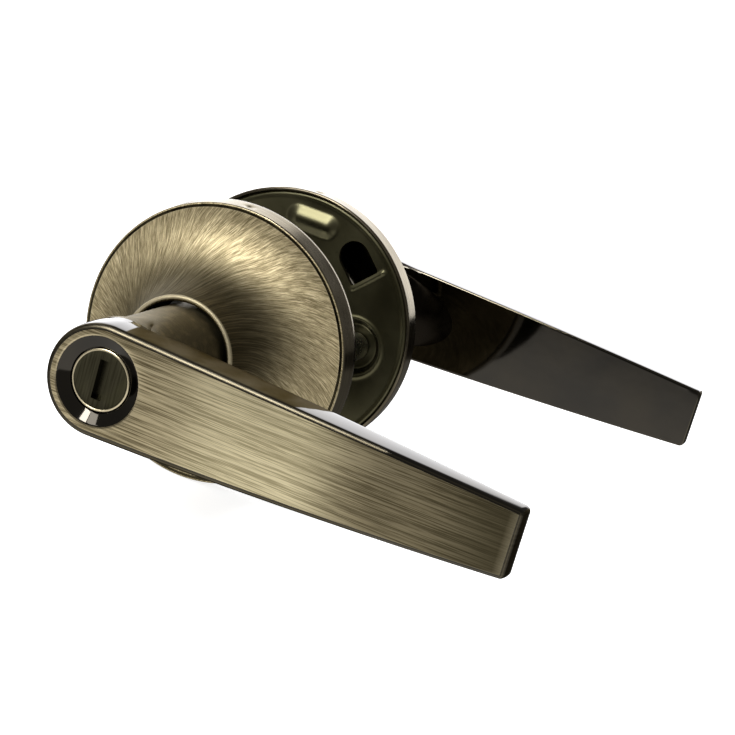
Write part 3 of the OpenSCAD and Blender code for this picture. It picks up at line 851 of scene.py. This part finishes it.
PLATE_T = 1.2
PLATE_LOW = 1.2
PLATE_TOP = PLATE_LOW + PLATE_T
TUBE_BORE = 9.52
TUBE_R = 10.7
TUBE_TOP = 9.6
N_PLATE = 420
BEAD_R = 31.7
BUMP_Z = 26.2              # the oval bumps above and below the hub
BUMP_HALF_X = 3.9
BUMP_R = 3.3
BUMP_RISE = 1.3
CUP_R = 7.3
CUP_DEPTH = 2.6
SCREW_HOLE_R = 2.25
WINDOW_INNER = 20.4        # distances of a window's sides from the axis, along its diagonal
WINDOW_OUTER = 28.4
WINDOW_STRAIGHT = 6.0      # where its sides turn into the arch
DIAGONAL = math.radians(45)
QUADRANTS = ((-1, -1), (-1, 1), (1, -1), (1, 1))


def plate_relief(x, z):
    """How far the stamped sheet stands away from its own plane, along h."""
    relief = np.zeros_like(x)
    radius = np.hypot(x, z)
    relief -= 0.28 * smooth(1 - np.abs(radius - BEAD_R) / 0.7)
    for s in (-1, 1):
        beyond = np.clip(np.abs(x) - BUMP_HALF_X, 0, None)
        away = np.clip(np.hypot(beyond, z - s * BUMP_Z) / BUMP_R, 0, 1)
        relief -= BUMP_RISE * (1 - away ** 2) ** 1.5
        from_post = np.hypot(x - s * POST_X, z)
        relief += CUP_DEPTH * smooth((CUP_R - from_post) / 1.9)
        # a fold round the cup
        relief -= 0.3 * smooth((CUP_R + 1.0 - from_post) / 0.9) * smooth((from_post - CUP_R + 0.7) / 0.7)
    # a rolled lip along the straight end of every window
    u, w = (np.abs(x) + np.abs(z)) / math.sqrt(2), (np.abs(z) - np.abs(x)) / math.sqrt(2)
    ends = smooth((u - WINDOW_INNER + 0.8) / 0.8) * smooth((WINDOW_OUTER + 1.8 - u) / 0.8)
    relief -= 0.5 * smooth(1 - np.abs(w + 0.75) / 0.75) * ends
    return relief


def arch_window(sx, sz):
    """Outline of one arched window, in the quadrant with signs sx and sz."""
    middle, half, corner = (WINDOW_INNER + WINDOW_OUTER) / 2, (WINDOW_OUTER - WINDOW_INNER) / 2, 0.5
    points = [(WINDOW_INNER + corner, 0.0), (WINDOW_OUTER - corner, 0.0),
              (WINDOW_OUTER - corner * 0.3, corner * 0.3), (WINDOW_OUTER, corner)]
    for a in np.linspace(0, math.pi, 17):
        points.append((middle + half * math.cos(a), WINDOW_STRAIGHT + half * math.sin(a)))
    points += [(WINDOW_INNER, corner), (WINDOW_INNER + corner * 0.3, corner * 0.3)]
    return [on_diagonal(u, v, sx, sz) for u, v in points]


def on_diagonal(u, v, sx, sz):
    """The (x, z) of a point u along a quadrant's diagonal and v across it."""
    x = u * math.cos(DIAGONAL) - v * math.sin(DIAGONAL)
    z = u * math.sin(DIAGONAL) + v * math.cos(DIAGONAL)
    return sx * x, sz * z


def plate(name, side, node):
    """Stamped plate with oval bumps, screw cups, arched windows, bent tabs and a drawn hub."""
    radii = np.concatenate([[PLATE_R - 0.25], np.arange(PLATE_R - 0.7, TUBE_BORE + 1.0, -0.42),
                            [TUBE_BORE + 0.6]])
    profile = [(PLATE_R, PLATE_TOP - 0.25, 0.0), (PLATE_R, PLATE_LOW + 0.25, 0.0)]
    profile += [(r, PLATE_LOW, 0.0) for r in radii]
    profile += [(r, h, 0.3) for r, h in arc(TUBE_BORE + 0.55, PLATE_LOW + 0.55, 0.55, 260, 180, 4)]
    profile += [(TUBE_BORE, TUBE_TOP, 0.0), (TUBE_R, TUBE_TOP, 0.0), (TUBE_R, PLATE_TOP + 0.5, 0.0)]
    profile += [(r, PLATE_TOP, 0.0) for r in radii[::-1] if r > TUBE_R + 0.3]
    rings = np.array([circle(r, h, N_PLATE) for r, h, _ in profile])
    radius = np.hypot(rings[..., 0], rings[..., 1])
    on_sheet = smooth((radius - TUBE_R - 0.2) / 0.6)
    rings[..., 2] += plate_relief(rings[..., 0], rings[..., 1]) * on_sheet
    obj = ring_mesh(name, rings, side, closed=True, wear_and_highlight=[worn_and_highlit for _, _, worn_and_highlit in profile], uv="along",
                    materials=[MATERIALS["plate"]])
    cutters = [prism(arch_window(sx, sz), PLATE_LOW - 1, PLATE_TOP + 1, side) for sx, sz in QUADRANTS]
    for s in (-1, 1):
        hole = circle(SCREW_HOLE_R, 0.0, 32)[:, :2] + (s * POST_X, 0.0)
        cutters.append(prism(hole, PLATE_LOW, PLATE_TOP + 4, side))
    cut(obj, cutters)
    sharpen(obj, 62)
    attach(obj, "trim")
    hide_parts(node)
    for k, (sx, sz) in enumerate(QUADRANTS):
        bent_tab(f"{name}_tab_{k}", side, sx, sz)


def bent_tab(name, side, sx, sz):
    """A lanced tab that bends away from the door beside a window."""
    low, bend, height, thick = PLATE_LOW, 0.9, 4.4, 1.1
    profile = [(-bend - 0.3, low + 0.02), (-bend, low + 0.02)]
    profile += [(-bend + bend * math.sin(a), low + bend - bend * math.cos(a))
                for a in np.radians(np.linspace(15, 90, 6))]
    profile += [(0.0, low + height - 0.2), (-0.2, low + height), (0.2 - thick, low + height),
                (-thick, low + height - 0.2), (-thick, low + 1.6), (-1.4, low + 1.15)]
    profile = np.array(profile)
    # the tab's two ends are slightly smaller than the rest
    middle = profile.mean(axis=0)
    rings = []
    for along, shrink in ((21.6, 0.15), (21.75, 0.0), (26.85, 0.0), (27.0, 0.15)):
        shrunk = profile + (middle - profile) * shrink
        rings.append([(*on_diagonal(along, v, sx, sz), h) for v, h in shrunk])
    obj = ring_mesh(name, rings, side, caps=(True, True), wear_and_highlight=[0.8, 0.5, 0.5, 0.8],
                    materials=[MATERIALS["plate"]])
    sharpen(obj, 35)
    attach(obj, "trim")


# ---- plug and turn button ----

STEM_R = 3.0
PLUG_STEM_END = 21.3
BUTTON_STEM_END = 39.3
SLOT_HALF_X = 1.2
SLOT_HALF_Z = 4.4
SLOT_CORNER = 0.2
SLOT_DEPTH = 2.0
WING_RISE = 8.0            # how far the thumb wing stands out of the lever
WING_HALF_X = 1.75
WING_HALF_Z = 6.0
WING_CROWN = 0.9
# how long and how wide the wing is at each part of its height
WING_LEVELS = ((0.0, 1.0, 1.0), (0.07, 1.0, 1.0), (0.2, 0.985, 0.9), (0.4, 0.97, 0.82), (0.6, 0.97, 0.8),
               (0.75, 0.98, 0.84), (0.86, 0.975, 0.86), (0.92, 0.95, 0.82), (0.96, 0.9, 0.7),
               (0.985, 0.82, 0.5), (1.0, 0.68, 0.22))


def head_profile(low):
    """Lathe profile (r, h, wear) of the round head and stem shared by the plug and the button's base, wear
    giving a rubbed and painted highlight ring on the rim.
    """
    top, foot = PLUG_FACE, PLUG_FACE - HEAD_T
    points = [(STEM_R, low, 0.0), (STEM_R, foot, 0.0), (PLUG_R - 0.2, foot, 0.0), (PLUG_R, foot + 0.2, 0.0),
              (PLUG_R, top - 0.35, 0.0)]
    # the rim's bright ring is rubbed brass and a painted highlight
    points += [(r, h, 1.0) for r, h in arc(PLUG_R - 0.3, top - 0.3, 0.3, 20, 90, 4)]
    points += [(PLUG_R - 0.42, top, 1.0), (PLUG_R - 0.58, top - 0.1, 0.0)]
    points += [(r, top - 0.12, 0.0) for r in (PLUG_R - 0.75, 5.0, 4.0, 3.0, 2.0, 1.0)]
    return points


def head(name, side, low, body, node):
    """Round head on its stem."""
    profile = head_profile(low)
    obj = ring_mesh(name, [circle(r, h, 128) for r, h, _ in profile], side, caps=(True, True),
                    wear_and_highlight=[worn_and_highlit for _, _, worn_and_highlit in profile], uv="along", materials=[MATERIALS["plug"]])
    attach(obj, body)
    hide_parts(node)
    return obj


def emergency_plug():
    """The slotted disc in the outside lever."""
    obj = head("emergency_plug_disc", OUTSIDE, PLUG_STEM_END, "emergency_plug", "emergency_plug")
    outline = []
    for quarter, (sx, sz) in enumerate(((1, 1), (-1, 1), (-1, -1), (1, -1))):
        cx, cz = sx * (SLOT_HALF_X - SLOT_CORNER), sz * (SLOT_HALF_Z - SLOT_CORNER)
        for k in range(4):
            a = math.radians(90 * quarter + 30 * k)
            outline.append((cx + SLOT_CORNER * math.cos(a), cz + SLOT_CORNER * math.sin(a)))
    cutter = prism(outline, PLUG_FACE - SLOT_DEPTH, PLUG_FACE + 1, OUTSIDE)
    cutter.data.materials.append(MATERIALS["black"])
    cut(obj, [cutter])
    sharpen(obj, 30)


def turn_button():
    """Round base with a thumb wing whose sides are waisted and whose top is crowned."""
    base = head("turn_button_base", INSIDE, BUTTON_STEM_END, "turn_button", "turn_button")
    sharpen(base, 30)
    low, high = PLUG_FACE - 0.6, REACH + WING_RISE
    # a superellipse with flat sides makes the wing's plan
    a = np.arange(96) * 2 * math.pi / 96
    plan_x = np.sign(np.cos(a)) * np.abs(np.cos(a)) ** 0.75 * WING_HALF_X
    plan_z = np.sign(np.sin(a)) * np.abs(np.sin(a)) ** 0.55 * WING_HALF_Z
    rings = []
    for t, long, wide in WING_LEVELS:
        z = plan_z * long
        h = low + (high - low) * t - WING_CROWN * (z / WING_HALF_Z) ** 2 * smooth((t - 0.8) / 0.2)
        rings.append(np.stack([plan_x * wide, z, h], axis=-1))
    wing = ring_mesh("turn_button_wing", rings, INSIDE, caps=(True, True), uv="around",
                     wear_and_highlight=[0.5 * (t > 0.9) for t, _, _ in WING_LEVELS], materials=[MATERIALS["neck"]])
    modifier = wing.modifiers.new("round", "SUBSURF")
    modifier.levels = modifier.render_levels = 1
    apply_modifiers(wing)
    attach(wing, "turn_button")


# ---- the object: each trim's pieces, then the finish of the CAD nodes ----

lever("outside_lever_casting", OUTSIDE, OUTSIDE_SOCKET_END, "outside_lever", "outside_lever",
      "outside_lever_screw")
lever("inside_lever_casting", INSIDE, INSIDE_SOCKET_END, "inside_lever", "inside_lever",
      "inside_lever_screw")
rose("outside_rose_cover", OUTSIDE, "outside_rose")
rose("inside_rose_cover", INSIDE, "inside_rose")
plate("outside_mounting_plate", OUTSIDE, "outside_plate")
plate("inside_mounting_plate", INSIDE, "inside_plate")
emergency_plug()
turn_button()

CAD_FINISH = {
    "zinc": ("threaded_posts", "outside_cam", "inside_cam", "lock_pin", "spindle", "lock_bar", "lock_cam"),
    "spring": ("outside_return_spring", "inside_return_spring", "outside_retaining_ring",
               "inside_retaining_ring", "plug_clip", "button_clip", "lock_pin_spring",
               "screw_washers", "button_detent_spring", "outside_thrust_washer",
               "inside_thrust_washer"),
    "black": ("outside_lever_screw", "inside_lever_screw"),
    "screw": ("through_screws",),
    "bronze": ("outside_bushing", "inside_bushing"),
}
for finish, nodes in CAD_FINISH.items():
    for node in nodes:
        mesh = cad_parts[node].data
        mesh.materials.clear()
        mesh.materials.append(MATERIALS[finish])


# ---- floor, light and camera ----

FLOOR_HALF = 6.0
KEY_DISTANCE = 1.1

CAMERA_AZIMUTH = math.radians(17.85)
CAMERA_ELEVATION = math.radians(14.95)
CAMERA_ROLL = math.radians(16.62)
CAMERA_DISTANCE = 0.5568
CAMERA_RIGHT = 0.0275591791      # how far the camera stands beside and below the line to the axis
CAMERA_UP = -0.0089402713
SENSOR_WIDTH = 36.0
LENS = 112.6530612


def floor():
    """A pale sheet under the set."""
    height = rose_low[2] * MM
    mesh = bpy.data.meshes.new("floor")
    corners = [(x * FLOOR_HALF, y * FLOOR_HALF, height) for x, y in ((-1, -1), (1, -1), (1, 1), (-1, 1))]
    mesh.from_pydata(corners, [], [(0, 1, 2, 3)])
    obj = bpy.data.objects.new("floor", mesh)
    bpy.context.scene.collection.objects.link(obj)
    m = Material("floor_pale")
    grain = m.noise(m.position(), scale=30, detail=2)
    m.put(m.shader.inputs["Base Color"], m.mix(grain, (0.86, 0.86, 0.86), (0.88, 0.88, 0.88)))
    m.shader.inputs["Roughness"].default_value = 0.9
    m.shader.inputs["Emission Color"].default_value = (1.0, 1.0, 1.0, 1.0)
    m.shader.inputs["Emission Strength"].default_value = 0.85
    mesh.materials.append(m.material)
    # the metal mirrors the dark and light studio round it, not the sheet that it stands on
    obj.visible_glossy = False


def studio():
    """A dim room with a bright wall low behind the object and a pale table under its front."""
    world = bpy.data.worlds.new("studio")
    bpy.context.scene.world = world
    world.use_nodes = True
    sky = Nodes(world.node_tree)
    direction = sky.add("SeparateXYZ", {"Vector": sky.add("TexCoord").outputs["Generated"]})
    x, y, z = direction.outputs["X"], direction.outputs["Y"], direction.outputs["Z"]
    # the wall's top edge leans
    leaning = sky.add("Math", {0: x, 1: 0.6, 2: z}, operation="MULTIPLY_ADD").outputs[0]

    def edge(value, start, end):
        return sky.remap(value, start, end, smooth_step=True)

    def times(a, b):
        return sky.math("MULTIPLY", a, b)

    wall = times(edge(y, 0.10, 0.45), times(edge(z, -0.12, -0.02), edge(leaning, 0.46, 0.36)))
    wall = times(wall, edge(x, 0.34, 0.24))
    table = times(edge(z, -0.19, -0.25), times(edge(y, 0.30, -0.05), edge(x, -0.85, -0.55)))
    color = sky.mix(table, (0.17, 0.165, 0.155), (0.92, 0.91, 0.90))
    color = sky.mix(wall, color, (3.3, 3.3, 3.4))
    sky.put(sky.tree.nodes["Background"].inputs["Color"], color)


def softbox(name, direction, size, power):
    """An area light that looks at the object from a direction."""
    data = bpy.data.lights.new(name, "AREA")
    data.shape = "RECTANGLE"
    data.size, data.size_y = size
    data.energy = power
    data.spread = math.pi
    obj = bpy.data.objects.new(name, data)
    bpy.context.scene.collection.objects.link(obj)
    d = Vector(direction).normalized()
    obj.location = d * KEY_DISTANCE
    obj.rotation_mode = "QUATERNION"
    obj.rotation_quaternion = d.to_track_quat("Z", "Y")


def camera():
    """A low view of the outside, rolled so that the set leans to the left."""
    azimuth, elevation, roll = CAMERA_AZIMUTH, CAMERA_ELEVATION, CAMERA_ROLL
    back = Vector((math.sin(azimuth) * math.cos(elevation), -math.cos(azimuth) * math.cos(elevation),
                   math.sin(elevation)))
    level_right = Vector((math.cos(azimuth), math.sin(azimuth), 0.0))
    level_up = back.cross(level_right)
    right = level_right * math.cos(roll) + level_up * math.sin(roll)
    up = level_up * math.cos(roll) - level_right * math.sin(roll)
    data = bpy.data.cameras.new("camera")
    data.sensor_width = SENSOR_WIDTH
    data.lens = LENS
    data.clip_start, data.clip_end = 0.01, 30.0
    obj = bpy.data.objects.new("camera", data)
    bpy.context.scene.collection.objects.link(obj)
    stand = back * CAMERA_DISTANCE + right * CAMERA_RIGHT + up * CAMERA_UP
    turn = Matrix((right, up, back)).transposed().to_4x4()
    obj.matrix_world = Matrix.Translation(stand) @ turn
    bpy.context.scene.camera = obj


floor()
studio()
softbox("key_softbox", (-0.245, -0.70, 0.67), (0.18, 0.74), 8.7)
softbox("key_left_wing", (-0.425, -0.65, 0.64), (0.23, 0.74), 2.8)
camera()
bpy.context.scene.view_settings.view_transform = "Standard"
bpy.context.scene.view_settings.look = "None"
